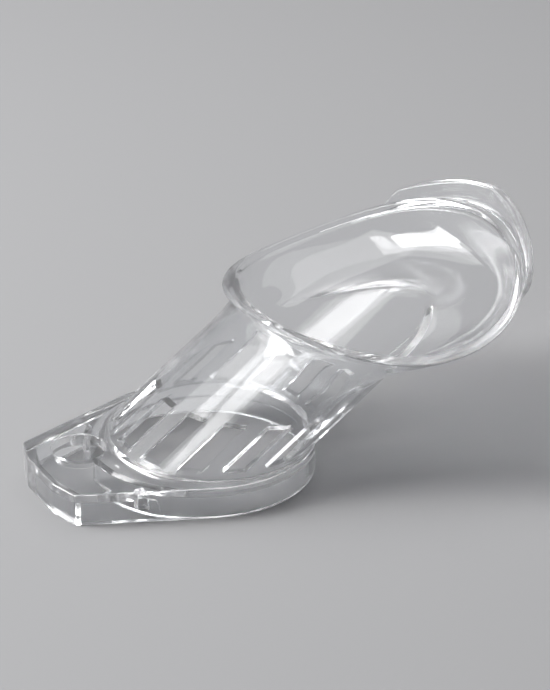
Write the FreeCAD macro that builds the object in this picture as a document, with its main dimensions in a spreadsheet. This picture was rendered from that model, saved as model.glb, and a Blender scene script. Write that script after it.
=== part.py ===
"""Clear one-piece cheek retractor, built as named sub-parts that meet face to face.

Frame: the origin is the centre of the collar's bottom face, +Z runs up the
socket axis, +X is the way the tube leans (towards the cheek) and the tab is
on -X.  All lengths are millimetres.
"""
import math
import os

import FreeCAD
import Part

SIZES = {
    # round skirted collar that the tool is held by
    "collar_r": 22.0,
    "collar_h": 6.2,
    "socket_r": 20.6,
    "socket_h": 4.0,
    # hollow tab on the collar's -X side
    "tab_reach": 32.8,
    "tab_half_w": 11.7,
    "tab_corner_x": 1.7,
    "tab_corner_y": 6.0,
    "tab_root_x": -8.2,
    "tab_root_y": 20.4,
    "tab_wall": 1.8,
    "tab_plate": 2.4,
    "tab_hole_r": 5.1,
    "tab_hole_x": -22.6,
    "tab_hole_y": 5.2,
    "slot_x": -19.5,
    "slot_w": 1.9,
    "slot_h": 3.2,
    "slot_z": 2.4,
    # leaning round tube, drawn by its horizontal section
    "tube_r": 20.0,
    "tube_wall": 1.5,
    "tube_x": 1.9,
    "tube_lean": 1.42,
    "cage_top": 15.6,
    "neck_top": 20.0,
    # ring of windows near the tube's root
    "vent_count": 15,
    "vent_w": 4.4,
    "vent_low": 7.4,
    "vent_high": 14.0,
    # shallow cup, drawn by four oval sections above the tube
    "cup_wall": 1.1,
    "hip_x": 26.2,
    "hip_z": 23.0,
    "hip_ax": 21.0,
    "hip_ay": 23.5,
    "hip_tilt": 2.6,
    "waist_x": 35.7,
    "waist_z": 28.6,
    "waist_ax": 24.0,
    "waist_ay": 32.3,
    "waist_tilt": 2.6,
    "mouth_x": 35.8,
    "mouth_z": 34.8,
    "mouth_ax": 27.2,
    "mouth_ay": 36.4,
    "mouth_tilt": 10.7,
    "crown_x": 37.4,
    "crown_z": 42.8,
    "crown_ax": 29.4,
    "crown_ay": 38.6,
    "crown_tilt": 10.7,
    # the rim is where the cup meets a long, gently sloping round roof
    "roof_r": 73.0,
    "roof_x": 8.4,
    "roof_z": 29.8,
    "roof_slope": 10.7,
    "rim_h": 1.6,
    "rim_grow": 0.5,
    # gutter-shaped cheek lip round the far end
    "lip_start": 55.0,
    "lip_reach": 3.2,
    "lip_rise": 4.0,
    "lip_floor": 1.4,
    "lip_wall": 1.3,
}

doc = FreeCAD.newDocument("cheek_retractor")
sheet = doc.addObject("Spreadsheet::Sheet", "sizes")
for row, (alias, value) in enumerate(SIZES.items(), start=1):
    cell = "B%d" % row
    sheet.set("A%d" % row, alias)
    sheet.set(cell, str(value))
    sheet.setAlias(cell, alias)
doc.recompute()


def add(kind, name, **bound):
    """Add one object and tie each given property to a sheet expression."""
    item = doc.addObject(kind, name)
    for prop, text in bound.items():
        item.setExpression(prop.replace("__", "."), text)
    return item


def join(kind, name, base, tool):
    """Combine two solids with one boolean."""
    item = doc.addObject(kind, name)
    item.Base = base
    item.Tool = tool
    return item


def cut(name, base, tool):
    """Base with the tool taken away."""
    return join("Part::Cut", name, base, tool)


def common(name, base, tool):
    """The space both solids fill."""
    return join("Part::Common", name, base, tool)


def post(name, radius, height, x="0", y="0", z="0"):
    """Upright cylinder."""
    return add(
        "Part::Cylinder", name, Radius=radius, Height=height,
        Placement__Base__x=x, Placement__Base__y=y, Placement__Base__z=z,
    )


def block(name, length, width, height, x, y, z):
    """Upright box given by its size and low corner."""
    return add(
        "Part::Box", name, Length=length, Width=width, Height=height,
        Placement__Base__x=x, Placement__Base__y=y, Placement__Base__z=z,
    )


def ring(name, radius, x, z):
    """Horizontal circle used as a loft section."""
    return add(
        "Part::Circle", name, Radius=radius,
        Placement__Base__x=x, Placement__Base__z=z,
    )


def oval(name, along, across, x, z, tilt):
    """Oval loft section, longer across, tipped up towards +X."""
    item = add(
        "Part::Ellipse", name, MajorRadius=across, MinorRadius=along,
        Placement__Base__x=x, Placement__Base__z=z,
    )
    quarter = FreeCAD.Rotation(FreeCAD.Vector(0, 0, 1), -90)
    tip = FreeCAD.Rotation(FreeCAD.Vector(0, 1, 0), -SIZES[tilt])
    item.Placement.Rotation = tip.multiply(quarter)
    return item


def loft(name, sections, ruled):
    """Solid skin over the sections."""
    item = doc.addObject("Part::Loft", name)
    item.Sections = sections
    item.Solid = True
    item.Ruled = ruled
    return item


def lean_solid(name, radius, low, high):
    """Round solid that follows the leaning tube between two heights."""
    ends = []
    for tag, height in (("a", low), ("b", high)):
        middle = "sizes.tube_x + sizes.tube_lean * (%s - sizes.collar_h)" % height
        ends.append(ring("%s_%s" % (name, tag), radius, middle, height))
    return loft(name, ends, True)


def cup_solid(name, grow, lift):
    """Bowl-shaped solid; grow pushes its sides out, lift raises its floor."""
    top = "sizes.neck_top"
    middle = "sizes.tube_x + sizes.tube_lean * (%s - sizes.collar_h)" % top
    foot = "sizes.tube_r + %s * sizes.tube_wall / sizes.cup_wall" % min(grow, 0)
    start = ring(name + "_foot", foot, middle, top)
    start.Placement.Rotation = FreeCAD.Rotation(FreeCAD.Vector(0, 0, 1), -90)
    sections = [
        start,
        oval(
            name + "_hip", "sizes.hip_ax + %s" % grow, "sizes.hip_ay + %s" % grow,
            "sizes.hip_x", "sizes.hip_z + %s" % lift, "hip_tilt",
        ),
        oval(
            name + "_waist", "sizes.waist_ax + %s" % grow, "sizes.waist_ay + %s" % grow,
            "sizes.waist_x", "sizes.waist_z + %s" % lift, "waist_tilt",
        ),
        oval(
            name + "_mouth", "sizes.mouth_ax + %s" % grow, "sizes.mouth_ay + %s" % grow,
            "sizes.mouth_x", "sizes.mouth_z", "mouth_tilt",
        ),
        oval(
            name + "_crown", "sizes.crown_ax + %s" % grow, "sizes.crown_ay + %s" % grow,
            "sizes.crown_x", "sizes.crown_z", "crown_tilt",
        ),
    ]
    return loft(name, sections, False)


def roof_solid(name, drop):
    """Long lying cylinder whose top is the rim's saddle, lowered by drop."""
    item = add("Part::Cylinder", name, Radius="sizes.roof_r - %s" % drop, Height="160")
    slope = math.radians(SIZES["roof_slope"])
    along = FreeCAD.Vector(math.cos(slope), 0, math.sin(slope))
    up = FreeCAD.Vector(-math.sin(slope), 0, math.cos(slope))
    start = FreeCAD.Vector(SIZES["roof_x"], 0, SIZES["roof_z"])
    base = start - up * SIZES["roof_r"] - along * 60
    turn = FreeCAD.Rotation(FreeCAD.Vector(0, 1, 0), 90 - SIZES["roof_slope"])
    item.Placement = FreeCAD.Placement(base, turn)
    return item


def both_sides(name, half):
    """Join the +Y half of a solid to its mirror image."""
    other = doc.addObject("Part::Mirroring", name + "_other")
    other.Source = half
    other.Normal = FreeCAD.Vector(0, 1, 0)
    return join("Part::Fuse", name, half, other)


def prism(name, corners, low, high):
    """Upright solid over a plan outline given by x, y corners."""
    item = doc.addObject("Part::Feature", name)
    points = [FreeCAD.Vector(x, y, low) for x, y in corners]
    face = Part.Face(Part.makePolygon(points + points[:1]))
    item.Shape = face.extrude(FreeCAD.Vector(0, 0, high - low))
    return item


def tab_drill(name):
    """Round hole that passes through the tab and just nips the collar."""
    return post(
        name, "sizes.tab_hole_r", "sizes.collar_h", "sizes.tab_hole_x", "sizes.tab_hole_y",
    )


def make_collar():
    """Round skirt open below, with a top plate that carries the tube."""
    body = post("collar_body", "sizes.collar_r", "sizes.collar_h")
    socket = post("collar_socket", "sizes.socket_r", "sizes.socket_h")
    bore = post(
        "collar_bore", "sizes.tube_r - sizes.tube_wall", "sizes.collar_h", "sizes.tube_x",
    )
    ring_part = cut("collar_ring", cut("collar_skirt", body, socket), bore)
    return cut("mount_collar", ring_part, tab_drill("collar_drill"))


def tab_outline(inset):
    """Plan corners of the tab, moved inwards by inset."""
    reach = SIZES["tab_reach"] - inset
    half = SIZES["tab_half_w"] - inset
    corner_x = reach - SIZES["tab_corner_x"]
    corner_y = half - SIZES["tab_corner_y"]
    root_x = SIZES["tab_root_x"]
    root_y = SIZES["tab_root_y"] - inset
    side = [(-reach, -corner_y), (-corner_x, -half), (root_x, -root_y)]
    return side + [(x, -y) for x, y in reversed(side)]


def make_tab():
    """Hollow tab with a round hole and a small slot in one side wall."""
    top = SIZES["collar_h"]
    outer = prism("tab_outer", tab_outline(0), 0, top)
    inner = prism("tab_inner", tab_outline(SIZES["tab_wall"]), 0, top - SIZES["tab_plate"])
    shell = cut("tab_shell", outer, inner)
    clear = cut("tab_clear", shell, post("tab_trim", "sizes.collar_r", "sizes.collar_h"))
    slotted = cut("tab_slotted", clear, block(
        "tab_slot", "sizes.slot_w", "6", "sizes.slot_h",
        "sizes.slot_x - sizes.slot_w / 2", "-20", "sizes.slot_z",
    ))
    return cut("thumb_tab", slotted, tab_drill("tab_drill"))


def make_cage():
    """Root of the tube with its ring of windows."""
    outer = lean_solid("cage_outer", "sizes.tube_r", "sizes.collar_h", "sizes.cage_top")
    inner = lean_solid(
        "cage_inner", "sizes.tube_r - sizes.tube_wall", "sizes.collar_h", "sizes.cage_top",
    )
    wall = cut("cage_wall", outer, inner)
    cutters = doc.addObject("Part::Feature", "cage_vents")
    lean = SIZES["tube_lean"]
    low = SIZES["vent_low"]
    rise = SIZES["vent_high"] - low
    near = SIZES["tube_r"] - 3 * SIZES["tube_wall"]
    far = SIZES["tube_r"] + SIZES["tube_wall"]
    half = SIZES["vent_w"] / 2
    middle = SIZES["tube_x"] + lean * (low - SIZES["collar_h"])
    solids = []
    for number in range(int(SIZES["vent_count"])):
        angle = 180 + 360 * number / SIZES["vent_count"]
        plan = [(near, -half), (far, -half), (far, half), (near, half)]
        points = [FreeCAD.Vector(x, y, 0) for x, y in plan]
        face = Part.Face(Part.makePolygon(points + points[:1]))
        face.rotate(FreeCAD.Vector(0, 0, 0), FreeCAD.Vector(0, 0, 1), angle)
        face.translate(FreeCAD.Vector(middle, 0, low))
        solids.append(face.extrude(FreeCAD.Vector(lean * rise, 0, rise)))
    cutters.Shape = Part.makeCompound(solids)
    return cut("vent_cage", wall, cutters)


def make_neck():
    """Plain leaning tube between the windows and the cup."""
    outer = lean_solid("neck_outer", "sizes.tube_r", "sizes.cage_top", "sizes.neck_top")
    inner = lean_solid(
        "neck_inner", "sizes.tube_r - sizes.tube_wall", "sizes.cage_top", "sizes.neck_top",
    )
    return cut("neck_tube", outer, inner)


def make_mouth():
    """Cup, rim bead and cheek lip, all shaped by the same bowl on the +Y side."""
    wall = SIZES["cup_wall"]
    grow = SIZES["rim_grow"]
    reach = SIZES["lip_reach"]
    side = block("side_space", "120", "80", "80", "-20", "0", "-10")
    end = block("end_space", "60", "80", "80", "sizes.lip_start", "0", "-10")
    low_roof = roof_solid("roof_low", SIZES["rim_h"])
    inner = cup_solid("bowl_inner", -wall, wall)
    rim_bowl = cup_solid("bowl_rim", grow, 0)

    cup_half = common("cup_half", cup_solid("bowl_outer", 0, 0), side)
    cup_low = common("cup_low", cup_half, low_roof)
    cup = both_sides("retractor_cup", cut("cup_shell", cup_low, inner))

    rim_half = common("rim_half", rim_bowl, side)
    rim_high = cut("rim_high", rim_half, low_roof)
    rim_band = common("rim_band", rim_high, roof_solid("roof_top", 0))
    rim = both_sides("mouth_rim", cut("rim_ring", rim_band, inner))

    lip_half = common("lip_half", cup_solid("bowl_lip", reach, 0), end)
    lip_high = cut("lip_high", lip_half, low_roof)
    lip_band = common("lip_band", lip_high, roof_solid("roof_lip", -SIZES["lip_rise"]))
    lip_ring = cut("lip_ring", lip_band, rim_bowl)
    groove = common(
        "groove_band", cup_solid("bowl_groove", reach - SIZES["lip_wall"], 0), lip_band,
    )
    floor = roof_solid("roof_floor", SIZES["rim_h"] - SIZES["lip_floor"])
    lip = both_sides("cheek_lip", cut("lip_open", lip_ring, cut("groove", groove, floor)))
    return cup, rim, lip


parts = [make_collar(), make_tab(), make_cage(), make_neck()]
parts.extend(make_mouth())
doc.recompute()

for item in doc.Objects:
    state = list(item.State)
    if "Invalid" in state or "Error" in state:
        raise RuntimeError("%s did not recompute: %s" % (item.Name, state))

os.makedirs("parts", exist_ok=True)
for item in parts:
    item.Label = item.Name
    shape = item.Shape
    if shape.isNull() or not shape.isValid() or shape.Volume <= 0:
        raise RuntimeError("%s has no valid solid" % item.Name)
    shape.exportStep(os.path.join("parts", item.Label + ".step"))
    box = shape.BoundBox
    print("%-14s solids %d volume %8.1f  x %.2f..%.2f  y %.2f..%.2f  z %.2f..%.2f" % (
        item.Label, len(shape.Solids), shape.Volume,
        box.XMin, box.XMax, box.YMin, box.YMax, box.ZMin, box.ZMax,
    ))
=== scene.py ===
"""Looks of the clear cheek retractor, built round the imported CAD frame.

Lengths in this file are millimetres in the row frame until a mesh is made.
"""
import math

import bmesh
import bpy
import numpy as np
from mathutils import Matrix, Quaternion, Vector


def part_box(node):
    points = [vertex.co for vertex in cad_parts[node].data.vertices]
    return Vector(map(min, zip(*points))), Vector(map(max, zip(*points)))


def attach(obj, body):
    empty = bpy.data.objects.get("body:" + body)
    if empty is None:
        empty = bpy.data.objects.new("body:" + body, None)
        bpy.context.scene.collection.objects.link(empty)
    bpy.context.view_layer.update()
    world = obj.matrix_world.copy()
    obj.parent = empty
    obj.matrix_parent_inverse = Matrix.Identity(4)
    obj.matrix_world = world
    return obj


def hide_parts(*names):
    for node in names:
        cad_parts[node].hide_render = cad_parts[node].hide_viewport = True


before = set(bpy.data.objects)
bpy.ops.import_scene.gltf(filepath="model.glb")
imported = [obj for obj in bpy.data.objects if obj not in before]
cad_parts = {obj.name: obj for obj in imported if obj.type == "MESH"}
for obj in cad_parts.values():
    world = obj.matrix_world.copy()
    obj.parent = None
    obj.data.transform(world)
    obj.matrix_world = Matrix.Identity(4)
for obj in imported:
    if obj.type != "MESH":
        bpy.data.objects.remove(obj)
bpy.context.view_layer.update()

MM = 0.001


def cad_size(node, corner, axis):
    """One coordinate of a CAD node's box, in millimetres."""
    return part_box(node)[corner][axis] / MM


# ---------------------------------------------------------------- sizes
COLLAR_R = cad_size("mount_collar", 1, 0)
COLLAR_H = cad_size("mount_collar", 1, 2)
SOCKET_R = 20.6
SOCKET_H = 4.0
TAB_REACH = -cad_size("thumb_tab", 0, 0)
TAB_HALF = 11.7
# each corner is cut off this far back from the tab's end and this far in from its side
TAB_CUT = (1.7, 6.0)
# plan point where the tab's side leaves the collar
TAB_ROOT = (-8.2, 20.4)
TAB_WALL = 1.8
TAB_PLATE = 2.4
HOLE_AT = (-22.6, 5.2)
HOLE_R = 5.1
HOLE_FLARE = 0.3
# middle x, width, lower edge and height of the slot in the tab's -Y side
SLOT = (-19.5, 1.9, 2.4, 3.2)
SLOT_ROUND = 0.35
# from outside the tab's wall to about its inner face
SLOT_Y = (-20.0, -14.013)
# rounding of the base's edges, and of the tab's and its pocket's corners in plan
EDGE = 0.3
TAB_ROUND = 0.9
POCKET_ROUND = 0.3
# the pocket has its full depth where it is this wide, and is left out under this share of it
POCKET_FADE = 0.6
POCKET_LEAST = 0.05
# away from the pocket its rings lie flat, this far outside the socket
SOCKET_LAND = 0.75
# rise up the tube and reach over the collar of the fillet at the tube's foot
FOOT_RISE = 0.6
FOOT_FILLET = 0.8

TUBE_R = 20.0
TUBE_WALL = 1.5
TUBE_X = 1.9
# sideways for each millimetre up
TUBE_LEAN = 1.42
# heights where the tube turns into the cup, at its +X side, its flanks and its -X side
HEEL_Z = 25.2
FLANK_Z = 18.6
BACK_Z = 24.6
VENT_LOW = 7.4
VENT_HIGH = 14.0
VENT_CHAMFER = 0.12
VENT_ROWS = 8
# degrees round the tube from one window to the next, and across one window
VENT_PITCH = 24.0
VENT_WIDE = 12.6

CUP_WALL = 1.1
# along, across, centre x, centre z, tilt of the three ovals above the tube
WAIST = (24.4, 32.1, 36.0, 28.6, 2.6)
MOUTH = (27.2, 35.9, 35.8, 34.8, 10.7)
CROWN = (29.4, 38.6, 37.4, 42.8, 10.7)
# the round roof whose surface cuts the rim's saddle
ROOF_R = 73.0
ROOF_X = 8.4
ROOF_Z = 29.8
ROOF_SLOPE = math.radians(10.7)
# degrees from the far end: up to the first the cup bends off the tube at once, and past the
# second it sets off along the tube's lean
BOWL_FREE = 35.0
BOWL_KEPT = 95.0
# depths under the rim where the cup's plain faces end
CUP_OUTER_END = 2.4
CUP_INNER_END = 0.9
RIM_ROUND = 0.55
# how far the bead stands out from the cup, and where it starts and ends below the rim's edge
BEAD = 0.5
BEAD_DROP = 1.55
BEAD_TOP = -0.55
# how far out and how far under the bead each ring of its soft start lies
BEAD_START = ((0.05, 0.55), (0.2, 0.25))
LIP_REACH = 3.2
LIP_RISE = 4.3
LIP_WALL = 1.7
LIP_FLOOR = -0.2
LIP_ROUND = 0.8
# degrees from the far end where the lip ends, and degrees over which it fades
LIP_HALF_ANGLE = 48.0
LIP_FADE = 9.0
# a lip smaller than this share of the full one is left out
LIP_LEAST = 0.04
# how much narrower and lower the lip gets with each degree
LIP_REACH_LOSS = 0.03
LIP_RISE_LOSS = 0.055
# the gutter's floor is at least this wide
GUTTER_ROOM = 0.3

# metres: points nearer than the first are joined, edges under the second are removed
WELD = 2e-7
SLIVER = 1e-7


# ---------------------------------------------------------------- outline of collar and tab
def tab_corners(inset):
    """Plan corners of the tab from its +Y root round to its -Y root."""
    reach, half = TAB_REACH - inset, TAB_HALF - inset
    side = [
        (TAB_ROOT[0], TAB_ROOT[1] - inset),
        (TAB_CUT[0] - reach, half),
        (-reach, half - TAB_CUT[1]),
    ]
    return [np.array(p) for p in side + [(x, -y) for x, y in reversed(side)]]


def round_path(corners, radius, arc_steps, spacing):
    """Points along a polyline, its inner corners rounded, and the points of the arcs alone."""
    path, arcs = [], []
    pen = corners[0]
    for before, here, after in zip(corners, corners[1:], corners[2:]):
        into = (here - before) / np.linalg.norm(here - before)
        leave = (after - here) / np.linalg.norm(after - here)
        bend = math.acos(np.clip(into @ leave, -1, 1))
        first = here - into * radius * math.tan(bend / 2)
        aside = np.array([into[1], -into[0]])
        centre = first - aside * radius
        turns = [bend * k / arc_steps for k in range(arc_steps + 1)]
        arc = [centre + radius * (math.sin(a) * into + math.cos(a) * aside) for a in turns]
        steps = max(1, int(np.linalg.norm(first - pen) / spacing))
        path += [pen + (first - pen) * k / steps for k in range(steps)]
        path += arc
        arcs += arc
        pen = arc[-1]
    steps = int(np.linalg.norm(corners[-1] - pen) / spacing)
    path += [pen + (corners[-1] - pen) * (k + 1) / steps for k in range(steps)]
    return np.array(path), np.array(arcs)


def plan_angle(points):
    """Angle of plan points as seen from the tube's centre, from 0 to a full turn."""
    return np.arctan2(points[:, 1], points[:, 0] - TUBE_X) % (2 * math.pi)


def make_angles():
    """Angles of the columns: one a degree, the windows' sides and the tab's round corners."""
    _, arcs = round_path(tab_corners(0.0), TAB_ROUND, 5, 0.1)
    sides = []
    for k in range(int(360 / VENT_PITCH)):
        middle = 180 + VENT_PITCH * k
        sides += [(middle - VENT_WIDE / 2) % 360, (middle + VENT_WIDE / 2) % 360]
    clear_of_side = 0.9
    even = [
        d for d in range(360)
        if min(abs((d - s + 180) % 360 - 180) for s in sides) > clear_of_side
    ]
    return np.unique(np.round(np.concatenate([np.radians(even + sides), plan_angle(arcs)]), 7))


# angle of every column, in radians from +X round the tube's centre
U = make_angles()
COLUMNS = len(U)


def rays(path):
    """Where the column rays from the tube's centre meet a closed plan path."""
    angle = plan_angle(path)
    order = np.argsort(angle)
    angle, path = angle[order], path[order]
    return np.stack([np.interp(U, angle, path[:, k], period=2 * math.pi) for k in (0, 1)], 1)


def circle_rays(radius):
    """Where the column rays meet a circle round the origin."""
    reach = -TUBE_X * np.cos(U) + np.sqrt(radius ** 2 - (TUBE_X * np.sin(U)) ** 2)
    return np.stack([TUBE_X + reach * np.cos(U), reach * np.sin(U)], 1)


def centred(radius):
    """Plan circle round the tube's foot."""
    return np.stack([TUBE_X + radius * np.cos(U), radius * np.sin(U)], 1)


def base_outline(inset):
    """Collar and tab outline moved inwards, one plan point for each column."""
    path, _ = round_path(tab_corners(0.0), TAB_ROUND, 12, 0.1)
    if inset:
        along = np.gradient(path, axis=0)
        along /= np.linalg.norm(along, axis=1)[:, None]
        path = path + np.stack([-along[:, 1], along[:, 0]], 1) * inset
    return rays(np.concatenate([path, arc_between(path, COLLAR_R - inset)]))


def arc_between(path, radius):
    """Collar circle from the end of the tab's outline round to its start."""
    start = math.atan2(path[-1][1], path[-1][0])
    sweep = (math.atan2(path[0][1], path[0][0]) - start) % (2 * math.pi)
    angle = start + sweep * np.linspace(0, 1, 1500)[1:-1]
    return radius * np.stack([np.cos(angle), np.sin(angle)], 1)


def pocket_outline():
    """Inner face of the tab's wall, one plan point for each column."""
    path, _ = round_path(tab_corners(TAB_WALL), POCKET_ROUND, 6, 0.1)
    return rays(np.concatenate([path, arc_between(path, COLLAR_R - TAB_WALL)]))


def flat(plan, z):
    """Plan points at height z, which may differ from column to column."""
    return np.concatenate([plan, np.broadcast_to(np.asarray(z, float), (COLUMNS,))[:, None]], 1)


def blend(first, last, share):
    """Point between two rings; the share may differ from column to column."""
    share = np.broadcast_to(np.asarray(share, float), (COLUMNS,))[:, None]
    return first * (1 - share) + last * share


def bend(first, corner, last, steps):
    """Rings of a soft corner after its first ring, up to its last."""
    parts = [k / steps for k in range(1, steps + 1)]
    return [(1 - t) ** 2 * first + 2 * t * (1 - t) * corner + t * t * last for t in parts]


def ramp(first, last, steps):
    """Rings evenly between two rings, with the last and not the first."""
    return [first + (last - first) * k / steps for k in range(1, steps + 1)]


def smooth_step(value):
    """Eases 0..1."""
    value = np.clip(value, 0, 1)
    return value * value * (3 - 2 * value)


# ---------------------------------------------------------------- tube and cup
def tube_ring(radius, z):
    """Ring of the leaning tube at height z, which may differ from column to column."""
    z = np.broadcast_to(np.asarray(z, float), (COLUMNS,))
    x = TUBE_X + TUBE_LEAN * (z - COLLAR_H)
    return np.stack([x + radius * np.cos(U), radius * np.sin(U), z], 1)


def turn_from_far_end():
    """Degrees from the cup's far end to each column, on either side."""
    return np.degrees(np.minimum(U, 2 * math.pi - U))


def neck_end():
    """Height where the tube turns into the cup: low on the flanks, high at heel and back."""
    ends = np.where(np.cos(U) > 0, HEEL_Z, BACK_Z)
    return ends + (FLANK_Z - ends) * np.sin(U) ** 2


def oval_ring(oval, grow, lift):
    """Tilted oval of the cup, pushed out by grow and up by lift."""
    along, across, x, z, tilt = oval
    reach = (along + grow) * np.cos(U)
    slope = math.radians(tilt)
    return np.stack([
        x + reach * math.cos(slope),
        (across + grow) * np.sin(U),
        z + lift + reach * math.sin(slope),
    ], 1)


def bowl_curve(grow, samples=60):
    """Smooth curve from tube to crown for every column: steps x columns x 3."""
    wall = min(grow, 0.0)
    foot = tube_ring(TUBE_R + wall * TUBE_WALL / CUP_WALL, neck_end())
    rings = [
        foot,
        oval_ring(WAIST, grow, -wall),
        oval_ring(MOUTH, grow, 0),
        oval_ring(CROWN, grow, 0),
    ]
    chords = [b - a for a, b in zip(rings, rings[1:])]
    spans = [np.linalg.norm(c, axis=1)[:, None] for c in chords]
    speeds = [c / d for c, d in zip(chords, spans)]
    inner = [
        (v * e + w * d) / (d + e)
        for v, w, d, e in zip(speeds, speeds[1:], spans, spans[1:])
    ]
    tube_way = np.array([TUBE_LEAN, 0.0, 1.0]) / math.hypot(TUBE_LEAN, 1.0)
    free = 2 * speeds[0] - inner[0]
    kept = smooth_step((turn_from_far_end() - BOWL_FREE) / (BOWL_KEPT - BOWL_FREE))
    tangents = [blend(free, tube_way, kept), *inner, 2 * speeds[-1] - inner[-1]]
    curve = []
    for k, span in enumerate(spans):
        for t in np.linspace(0, 1, samples, endpoint=k == len(spans) - 1):
            curve.append(
                (2 * t ** 3 - 3 * t ** 2 + 1) * rings[k]
                + (3 * t ** 2 - 2 * t ** 3) * rings[k + 1]
                + (t ** 3 - 2 * t ** 2 + t) * span * tangents[k]
                + (t ** 3 - t ** 2) * span * tangents[k + 1]
            )
    return np.array(curve)


def from_roof_axis(points):
    """Square offsets of points from the axis of the round roof that makes the rim's saddle."""
    along = np.array([math.cos(ROOF_SLOPE), 0, math.sin(ROOF_SLOPE)])
    up = np.array([-math.sin(ROOF_SLOPE), 0, math.cos(ROOF_SLOPE)])
    rel = points - (np.array([ROOF_X, 0, ROOF_Z]) - up * ROOF_R)
    return rel - (rel @ along)[..., None] * along


def above_roof(points):
    """Height of points over the roof."""
    return np.linalg.norm(from_roof_axis(points), axis=-1) - ROOF_R


def at_steps(curve, steps):
    """Points of a bowl curve at a fractional step for every column."""
    low = np.clip(np.floor(steps).astype(int), 0, len(curve) - 2)
    index = np.arange(COLUMNS)
    return blend(curve[low, index], curve[low + 1, index], steps - low)


def steps_at(curve, height):
    """Fractional step of a bowl curve where it is at that height over the roof."""
    over = above_roof(curve)
    steps = np.arange(len(curve), dtype=float)
    wanted = np.broadcast_to(height, (COLUMNS,))
    return np.array([np.interp(wanted[i], over[:, i], steps) for i in range(COLUMNS)])


def roof_normal(points):
    """Up direction of the roof at some points."""
    rel = from_roof_axis(points)
    return rel / np.linalg.norm(rel, axis=-1)[..., None]


def mouth_ring(grow, height):
    """Ring at a distance from the cup's outer face and a height over the roof."""
    curve = bowl_curve(grow)
    return at_steps(curve, steps_at(curve, height))


def rim_frame():
    """Rim edge with its outward and upward directions for every column."""
    edge = mouth_ring(0.0, 0.0)
    up = roof_normal(edge)
    along = np.roll(edge, -1, axis=0) - np.roll(edge, 1, axis=0)
    out = np.cross(along, up)
    out /= np.linalg.norm(out, axis=1)[:, None]
    return edge, out, up


# ---------------------------------------------------------------- the moulding
def outer_base_rows():
    """Rings from the tube's outer foot over the collar and tab and down to their bottom edge."""
    outline, inset = base_outline(0.0), base_outline(EDGE)
    room = np.linalg.norm(outline - centred(TUBE_R), axis=1)
    fillet = np.minimum(room * 0.45, FOOT_FILLET)[:, None]
    edge = np.minimum(room * 0.4 / EDGE, 1.0)
    out = np.stack([np.cos(U), np.sin(U)], 1)
    foot = flat(centred(TUBE_R), COLLAR_H)
    fillet_end = flat(centred(TUBE_R) + out * fillet, COLLAR_H)
    rows = bend(tube_ring(TUBE_R, COLLAR_H + FOOT_RISE), foot, fillet_end, 5)
    top_edge = flat(blend(outline, inset, edge), COLLAR_H)
    rows += ramp(rows[-1], top_edge, 7)
    rows += bend(top_edge, flat(outline, COLLAR_H), flat(outline, COLLAR_H - EDGE * edge), 4)
    rows += ramp(rows[-1], flat(outline, EDGE), 6)
    return rows + bend(rows[-1], flat(outline, 0), flat(inset, 0), 4)


def pocket_rows(start):
    """Rings after start along the bottom, up into the tab's pocket and down its other side."""
    pocket, drum = pocket_outline(), circle_rays(COLLAR_R)
    middle = circle_rays(SOCKET_R + SOCKET_LAND)
    reach = [np.linalg.norm(plan - centred(0), axis=1) for plan in (pocket, drum)]
    opened = smooth_step((reach[0] - reach[1]) / POCKET_FADE)
    opened[opened < POCKET_LEAST] = 0
    outer_wall, inner_wall = blend(middle, pocket, opened), blend(middle, drum, opened)
    depth = (COLLAR_H - TAB_PLATE) * opened
    rows = ramp(start, flat(outer_wall, 0), 2)
    rows += ramp(rows[-1], flat(outer_wall, depth), 5)
    rows += ramp(rows[-1], flat(inner_wall, depth), 6)
    return rows + ramp(rows[-1], flat(inner_wall, 0), 5)


def socket_rows():
    """Rings from the socket's mouth up its wall and in to the tube's bore."""
    socket, bore = circle_rays(SOCKET_R), centred(TUBE_R - TUBE_WALL)
    rows = [flat(circle_rays(SOCKET_R + EDGE), 0)]
    rows += bend(rows[-1], flat(socket, 0), flat(socket, EDGE), 4)
    rows += ramp(rows[-1], flat(socket, SOCKET_H), 4)
    rows += ramp(rows[-1], flat(bore, SOCKET_H), 3)
    return rows + ramp(rows[-1], flat(bore, COLLAR_H), 3)


def base_rows():
    """Rings from the tube's outer foot, over the base and under it, up to the bore."""
    outer = outer_base_rows()
    return outer + pocket_rows(outer[-1]) + socket_rows()


def tube_heights():
    """Heights of the tube's rings above its foot, with rows on the windows' ends."""
    vent = np.linspace(VENT_LOW, VENT_HIGH, VENT_ROWS + 1)
    end = neck_end()
    heights = [np.full(COLUMNS, z) for z in (COLLAR_H + FOOT_RISE, *vent)]
    steps = 12
    return heights + [VENT_HIGH + (end - VENT_HIGH) * k / steps for k in range(1, steps)]


def rounded(path, radius, steps=4):
    """Rounds the corners of a path of (out, up) points or of rings."""
    path = [np.array(p, float) for p in path]
    points = [path[0]]
    for before, here, after in zip(path, path[1:], path[2:]):
        into, leave = here - before, after - here
        long_in = np.linalg.norm(into, axis=-1, keepdims=True)
        long_out = np.linalg.norm(leave, axis=-1, keepdims=True)
        reach = np.minimum(radius, np.minimum(long_in, long_out) * 0.49)
        start, end = here - into / long_in * reach, here + leave / long_out * reach
        for k in range(steps + 1):
            t = k / steps
            points.append((1 - t) ** 2 * start + 2 * t * (1 - t) * here + t * t * end)
    points.append(path[-1])
    return points


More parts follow.
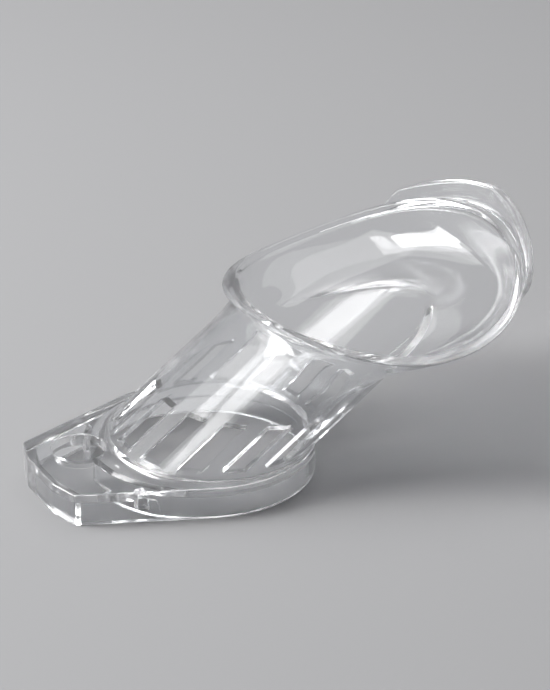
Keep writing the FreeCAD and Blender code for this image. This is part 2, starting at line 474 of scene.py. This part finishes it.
def lip_profile(turn, share):
    """Corners of the gutter lip as (out, up) for every column; share shrinks it to the bead."""
    near = np.minimum(turn, LIP_HALF_ANGLE)
    reach, rise = LIP_REACH - LIP_REACH_LOSS * near, LIP_RISE - LIP_RISE_LOSS * near
    wall = np.minimum(LIP_WALL, reach - BEAD - GUTTER_ROOM)
    outer, inner = BEAD + (reach - BEAD) * share, BEAD + (reach - wall - BEAD) * share
    top, floor = BEAD_TOP + (rise - BEAD_TOP) * share, BEAD_TOP + (LIP_FLOOR - BEAD_TOP) * share
    corners = [
        (BEAD, -BEAD_DROP), (outer, -BEAD_DROP), (outer, top),
        (inner, top), (inner, floor), (BEAD, floor),
    ]
    return [np.stack(np.broadcast_arrays(x, z, turn)[:2], 1) for x, z in corners]


def rim_rows():
    """Rings over the rim: bead, gutter lip at the far end, and rounded top edge."""
    edge, out, up = rim_frame()
    turn = turn_from_far_end()
    share = smooth_step((LIP_HALF_ANGLE - turn) / LIP_FADE)
    share[share < LIP_LEAST] = 0
    under, over = mouth_ring(BEAD, -BEAD_DROP), mouth_ring(BEAD, BEAD_TOP)
    rows = [mouth_ring(away, -BEAD_DROP - drop) for away, drop in BEAD_START] + [under]
    path = rounded(lip_profile(turn, np.maximum(share, 0.01)), LIP_ROUND)
    plain_rows = 8
    for k, place in enumerate(path[1:-1], start=1):
        x, z = place[:, :1], place[:, 1:]
        on_bead = mouth_ring(BEAD, z[:, 0]) + out * (x - BEAD)
        lip = blend(on_bead, edge + out * x + up * z, share)
        plain = under + (over - under) * min(1.0, k / plain_rows)
        rows.append(np.where(share[:, None] > 0, lip, plain))
    inner_top, inner_low = mouth_ring(-CUP_WALL, 0.0), mouth_ring(-CUP_WALL, -CUP_INNER_END)
    top = rounded([over, mouth_ring(BEAD, 0.0), inner_top, inner_low], RIM_ROUND, 5)
    return rows + top[:-1]


def moulding_rings():
    """Every ring of the closed moulding, and the row numbers of the windows' ends."""
    levels = tube_heights()
    outer_tube = [tube_ring(TUBE_R, z) for z in levels]
    inner_tube = [tube_ring(TUBE_R - TUBE_WALL, z) for z in levels]
    cup_outer, cup_inner = bowl_curve(0.0), bowl_curve(-CUP_WALL)
    outer_end = steps_at(cup_outer, -CUP_OUTER_END)
    inner_end = steps_at(cup_inner, -CUP_INNER_END)
    rise = np.linspace(0, 1, 32)
    outer_cup = [at_steps(cup_outer, outer_end * t) for t in rise]
    inner_cup = [at_steps(cup_inner, inner_end * t) for t in rise]
    rings = base_rows()
    inner_first = len(rings)
    rings += inner_tube + inner_cup + list(reversed(rim_rows())) + list(reversed(outer_cup))
    outer_last = len(rings) + len(outer_tube) - 1
    rings += list(reversed(outer_tube))
    low, high = 1, 1 + VENT_ROWS
    return rings, (inner_first + low, inner_first + high, outer_last - low, outer_last - high)


def in_vent(column):
    """True where the step from a column to the next one lies in a window."""
    step = (U[(column + 1) % COLUMNS] - U[column]) % (2 * math.pi)
    middle = math.degrees(U[column] + step / 2)
    off = (middle - 180 + VENT_PITCH / 2) % VENT_PITCH - VENT_PITCH / 2
    return abs(off) < VENT_WIDE / 2


def moulding_faces(count, vents):
    """Faces of the closed moulding and the edges round its windows, as vertex numbers."""
    in_low, in_high, out_low, out_high = vents
    faces, rim_edges = [], []
    opened = [in_vent(column) for column in range(COLUMNS)]

    def at(row, column):
        return (row % count) * COLUMNS + column % COLUMNS

    for row in range(count):
        windows_here = in_low <= row < in_high or out_high <= row < out_low
        for c in range(COLUMNS):
            if not (windows_here and opened[c]):
                faces.append((at(row, c), at(row, c + 1), at(row + 1, c + 1), at(row + 1, c)))
    for c in range(COLUMNS):
        if opened[c]:
            for inside, outside in ((in_low, out_low), (in_high, out_high)):
                faces.append((at(inside, c), at(inside, c + 1), at(outside, c + 1), at(outside, c)))
                rim_edges += [(at(row, c), at(row, c + 1)) for row in (inside, outside)]
        if opened[c] != opened[(c + 1) % COLUMNS]:
            for k in range(in_high - in_low):
                inside = (at(in_low + k, c + 1), at(in_low + k + 1, c + 1))
                outside = (at(out_low - k, c + 1), at(out_low - k - 1, c + 1))
                faces.append((*inside, outside[1], outside[0]))
                rim_edges += [inside, outside]
            for inside, outside in ((in_low, out_low), (in_high, out_high)):
                rim_edges.append((at(inside, c + 1), at(outside, c + 1)))
    return faces, rim_edges


def add_object(name, data):
    """New object in the scene with that mesh, light or camera."""
    item = bpy.data.objects.new(name, data)
    bpy.context.scene.collection.objects.link(item)
    return item


def build_moulding():
    """Closed mesh of the whole moulding, before the tab's hole and slot."""
    rings, vents = moulding_rings()
    faces, rim_edges = moulding_faces(len(rings), vents)
    verts = np.concatenate(rings) * MM
    form = bmesh.new()
    points = [form.verts.new(v) for v in verts.tolist()]
    for face in faces:
        form.faces.new([points[i] for i in face])
    soft = [form.edges.get((points[a], points[b])) for a, b in rim_edges]
    bmesh.ops.bevel(
        form, geom=soft, affect="EDGES", offset=VENT_CHAMFER * MM, offset_type="OFFSET",
        segments=1, profile=0.5, clamp_overlap=True, miter_outer="SHARP", miter_inner="SHARP",
    )
    loose = [v for v in form.verts if not v.link_faces]
    bmesh.ops.delete(form, geom=loose, context="VERTS")
    bmesh.ops.remove_doubles(form, verts=form.verts, dist=WELD)
    bmesh.ops.dissolve_degenerate(form, edges=form.edges, dist=SLIVER)
    bmesh.ops.recalc_face_normals(form, faces=form.faces)
    mesh = bpy.data.meshes.new("retractor_moulding")
    form.to_mesh(mesh)
    form.free()
    return add_object("retractor_moulding", mesh)


def hole_cutter():
    """Round cutter with flared ends for the tab's hole."""
    wide, top = HOLE_R + HOLE_FLARE, COLLAR_H - HOLE_FLARE
    profile = [(wide, -1.0), (wide, 0.0), (HOLE_R, HOLE_FLARE), (HOLE_R, top)]
    for k in range(1, 5):
        a = math.radians(90 * k / 4)
        profile.append((HOLE_R + HOLE_FLARE * (1 - math.cos(a)), top + HOLE_FLARE * math.sin(a)))
    profile.append((wide, COLLAR_H + 1.0))
    sides = 96
    # turned by part of a side, so that its corners miss the moulding's own
    angle = 2 * math.pi * (np.arange(sides) + 0.37) / sides
    verts = [
        ((HOLE_AT[0] + r * math.cos(a)) * MM, (HOLE_AT[1] + r * math.sin(a)) * MM, z * MM)
        for r, z in profile for a in angle
    ]
    faces = [tuple(reversed(range(sides))), tuple(range(len(verts) - sides, len(verts)))]
    for row in range(len(profile) - 1):
        first, above = row * sides, (row + 1) * sides
        for k in range(sides):
            n = (k + 1) % sides
            faces.append((first + k, first + n, above + n, above + k))
    return cutter("hole_cutter", verts, faces)


def slot_cutter():
    """Round-cornered cutter for the narrow slot in the tab's -Y side."""
    x, wide, low, tall = SLOT
    half_x, half_z, radius = wide / 2, tall / 2, SLOT_ROUND
    loop = []
    for cx, cz, start in ((1, 1, 0), (-1, 1, 90), (-1, -1, 180), (1, -1, 270)):
        for k in range(6):
            a = math.radians(start + 90 * k / 5)
            loop.append((
                x + cx * (half_x - radius) + radius * math.cos(a),
                low + half_z + cz * (half_z - radius) + radius * math.sin(a),
            ))
    sides = len(loop)
    verts = [(px * MM, y * MM, pz * MM) for y in SLOT_Y for px, pz in loop]
    faces = [tuple(range(sides)), tuple(reversed(range(sides, 2 * sides)))]
    faces += [(k, k + sides, (k + 1) % sides + sides, (k + 1) % sides) for k in range(sides)]
    return cutter("slot_cutter", verts, faces)


def cutter(name, verts, faces):
    """Closed helper object for one cut, its faces turned outwards."""
    mesh = bpy.data.meshes.new(name)
    mesh.from_pydata(verts, [], faces)
    form = bmesh.new()
    form.from_mesh(mesh)
    bmesh.ops.recalc_face_normals(form, faces=form.faces)
    form.to_mesh(mesh)
    form.free()
    return add_object(name, mesh)


def cut_away(piece, tools):
    """Cuts the tools out of the piece and removes them."""
    for tool in tools:
        step = piece.modifiers.new(tool.name, "BOOLEAN")
        step.operation = "DIFFERENCE"
        step.solver = "EXACT"
        step.object = tool
    bpy.context.view_layer.update()
    graph = bpy.context.evaluated_depsgraph_get()
    done = bpy.data.meshes.new_from_object(piece.evaluated_get(graph))
    piece.modifiers.clear()
    piece.data = done
    for tool in tools:
        bpy.data.objects.remove(tool)


def shade(piece, sharp_degrees):
    """Smooth shading with hard edges only where faces meet at a steep angle."""
    form = bmesh.new()
    form.from_mesh(piece.data)
    bmesh.ops.dissolve_degenerate(form, edges=form.edges, dist=SLIVER)
    limit = math.radians(sharp_degrees)
    for face in form.faces:
        face.smooth = True
    for edge in form.edges:
        edge.smooth = len(edge.link_faces) == 2 and edge.calc_face_angle(0) < limit
    form.to_mesh(piece.data)
    form.free()


# ---------------------------------------------------------------- materials
def node(tree, kind, x, y, **values):
    """One shader node at a place, with its input values; _ in a key stands for a space."""
    item = tree.nodes.new(kind)
    item.location = (x, y)
    for key, value in values.items():
        item.inputs[key.replace("_", " ")].default_value = value
    return item


def flow_waves(tree, place):
    """Faint waves that the plastic's flow left in its faces, as a Bump node."""
    flow = node(tree, "ShaderNodeTexNoise", -600, 300, Scale=60.0, Detail=2.0, Roughness=0.5)
    waves = node(tree, "ShaderNodeBump", -300, 0, Strength=0.08, Distance=0.0005)
    tree.links.new(place.outputs["Object"], flow.inputs["Vector"])
    tree.links.new(flow.outputs["Fac"], waves.inputs["Height"])
    return waves


def scuff_lines(tree, place, below):
    """Fine scuffs in one slanting direction on top of another Bump node."""
    along = node(
        tree, "ShaderNodeMapping", -900, -300,
        Scale=(1.0, 14.0, 9.0), Rotation=(0.5, 0.3, 0.6),
    )
    scuffs = node(tree, "ShaderNodeTexNoise", -600, -300, Scale=260.0, Detail=3.0, Roughness=0.6)
    worn = node(tree, "ShaderNodeMapRange", -450, -450, From_Min=0.62, From_Max=0.74)
    lines = node(tree, "ShaderNodeBump", -100, -200, Strength=0.05, Distance=0.00005)
    tree.links.new(place.outputs["Object"], along.inputs["Vector"])
    tree.links.new(along.outputs["Vector"], scuffs.inputs["Vector"])
    tree.links.new(scuffs.outputs["Fac"], worn.inputs["Value"])
    tree.links.new(worn.outputs["Result"], lines.inputs["Height"])
    tree.links.new(below.outputs["Normal"], lines.inputs["Normal"])
    return lines


def patchy_haze(tree, place):
    """Roughness that changes from patch to patch, as a Map Range node."""
    haze = node(tree, "ShaderNodeTexNoise", -600, 0, Scale=400.0, Detail=4.0, Roughness=0.6)
    rough = node(tree, "ShaderNodeMapRange", -300, 200, To_Min=0.03, To_Max=0.08)
    tree.links.new(place.outputs["Object"], haze.inputs["Vector"])
    tree.links.new(haze.outputs["Fac"], rough.inputs["Value"])
    return rough


def clear_plastic():
    """Clear moulded plastic: polished, with faint flow waves, fine scuffs and patchy haze."""
    material = bpy.data.materials.new("clear_plastic")
    material.use_nodes = True
    tree = material.node_tree
    tree.nodes.clear()
    shader = node(
        tree, "ShaderNodeBsdfPrincipled", 300, 0,
        Base_Color=(0.965, 0.972, 0.98, 1), Transmission_Weight=0.985, IOR=1.5,
    )
    output = node(tree, "ShaderNodeOutputMaterial", 600, 0)
    place = node(tree, "ShaderNodeTexCoord", -900, 0)
    lines = scuff_lines(tree, place, flow_waves(tree, place))
    rough = patchy_haze(tree, place)
    tree.links.new(lines.outputs["Normal"], shader.inputs["Normal"])
    tree.links.new(rough.outputs["Result"], shader.inputs["Roughness"])
    tree.links.new(shader.outputs["BSDF"], output.inputs["Surface"])
    return material


def floor_material():
    """Plain grey floor, dull all over."""
    material = bpy.data.materials.new("pale_floor")
    material.use_nodes = True
    shader = material.node_tree.nodes["Principled BSDF"]
    shader.inputs["Base Color"].default_value = (0.33, 0.33, 0.335, 1)
    shader.inputs["Roughness"].default_value = 0.8
    shader.inputs["Specular IOR Level"].default_value = 0.0
    return material


# ---------------------------------------------------------------- build
moulding = build_moulding()
cut_away(moulding, [hole_cutter(), slot_cutter()])
shade(moulding, 35)
moulding.data.materials.clear()
moulding.data.materials.append(clear_plastic())
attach(moulding, "root")
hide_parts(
    "mount_collar", "thumb_tab", "vent_cage", "neck_tube",
    "retractor_cup", "mouth_rim", "cheek_lip",
)


# ---------------------------------------------------------------- stage, light and camera
# metres and degrees from here on
FLOOR_SIDE = 6.0
FLOOR_GAP = 0.00005
LIGHTS_AIM = (0.03, 0.0, 0.02)
# name, azimuth, elevation, distance, width and height, radiance, lean
LIGHTS = (
    ("window", -117, 26, 1.10, (0.38, 1.06), 11.0, -10),
    ("window_edge", -123, 28, 1.12, (0.52, 1.08), 2.6, -12),
    ("window_glow", -134, 33, 1.14, (0.60, 0.92), 1.5, -12),
    ("high_strip", -114, 60, 0.80, (0.40, 0.13), 4.5, -6),
    ("ceiling", -168, 73, 0.62, (1.2, 0.42), 1.6, 0),
)
CAMERA_AZIMUTH = -27.0
CAMERA_ELEVATION = 28.0
CAMERA_DISTANCE = 0.45
CAMERA_LENS_MM = 123.57
CAMERA_SENSOR_MM = 36.0
# how far the view is turned off the origin, as shares of the distance
CAMERA_RIGHT = 0.03175
CAMERA_UP = 0.0494


def add_floor():
    """Large flat floor, a hair under the object's bottom face so that the two never coincide."""
    half = FLOOR_SIDE / 2
    corners = [(-half, -half, 0), (half, -half, 0), (half, half, 0), (-half, half, 0)]
    mesh = bpy.data.meshes.new("floor")
    mesh.from_pydata(corners, [], [(0, 1, 2, 3)])
    mesh.materials.append(floor_material())
    floor = add_object("floor", mesh)
    floor.location.z = -FLOOR_GAP


def direction(azimuth, elevation):
    """Unit vector from the object towards a viewing angle given in radians."""
    return Vector((
        math.sin(azimuth) * math.cos(elevation),
        -math.cos(azimuth) * math.cos(elevation),
        math.sin(elevation),
    ))


def add_area(name, azimuth, elevation, distance, size, radiance, lean):
    """Soft rectangular light, seen from the object in a direction and aimed back at it."""
    toward = direction(math.radians(azimuth), math.radians(elevation))
    data = bpy.data.lights.new(name, "AREA")
    data.shape = "RECTANGLE"
    data.size, data.size_y = size
    data.energy = radiance * math.pi * size[0] * size[1]
    lamp = add_object(name, data)
    lamp.location = Vector(LIGHTS_AIM) + toward * distance
    aimed = toward.to_track_quat("Z", "Y")
    tipped = aimed @ Quaternion((0.0, 0.0, 1.0), math.radians(lean))
    lamp.rotation_euler = tipped.to_euler()


def add_camera():
    """Camera at the photograph's viewing angle, turned so that the object sits as it does there."""
    azimuth = math.radians(CAMERA_AZIMUTH)
    back = direction(azimuth, math.radians(CAMERA_ELEVATION))
    right = Vector((math.cos(azimuth), math.sin(azimuth), 0.0))
    up = back.cross(right)
    level = Matrix((right, up, back)).transposed().to_quaternion()
    aimed = (back - right * CAMERA_RIGHT - up * CAMERA_UP).normalized()
    data = bpy.data.cameras.new("camera")
    data.sensor_width = CAMERA_SENSOR_MM
    data.lens = CAMERA_LENS_MM
    data.clip_start, data.clip_end = 0.01, 20.0
    camera = add_object("camera", data)
    camera.rotation_mode = "QUATERNION"
    camera.location = back * CAMERA_DISTANCE
    camera.rotation_quaternion = back.rotation_difference(aimed) @ level
    bpy.context.scene.camera = camera


def add_world():
    """Even, dim grey surroundings."""
    world = bpy.data.worlds.new("studio")
    world.use_nodes = True
    ground = world.node_tree.nodes["Background"]
    ground.inputs["Color"].default_value = (0.5, 0.5, 0.52, 1)
    ground.inputs["Strength"].default_value = 0.5
    bpy.context.scene.world = world


add_floor()
add_world()
for light in LIGHTS:
    add_area(*light)
add_camera()

bpy.context.scene.view_settings.view_transform = "Standard"
# light crosses many walls here, and with fewer bounces the thick edges turn black
cycles = bpy.context.scene.cycles
cycles.max_bounces = 32
cycles.glossy_bounces = 24
cycles.transmission_bounces = 32
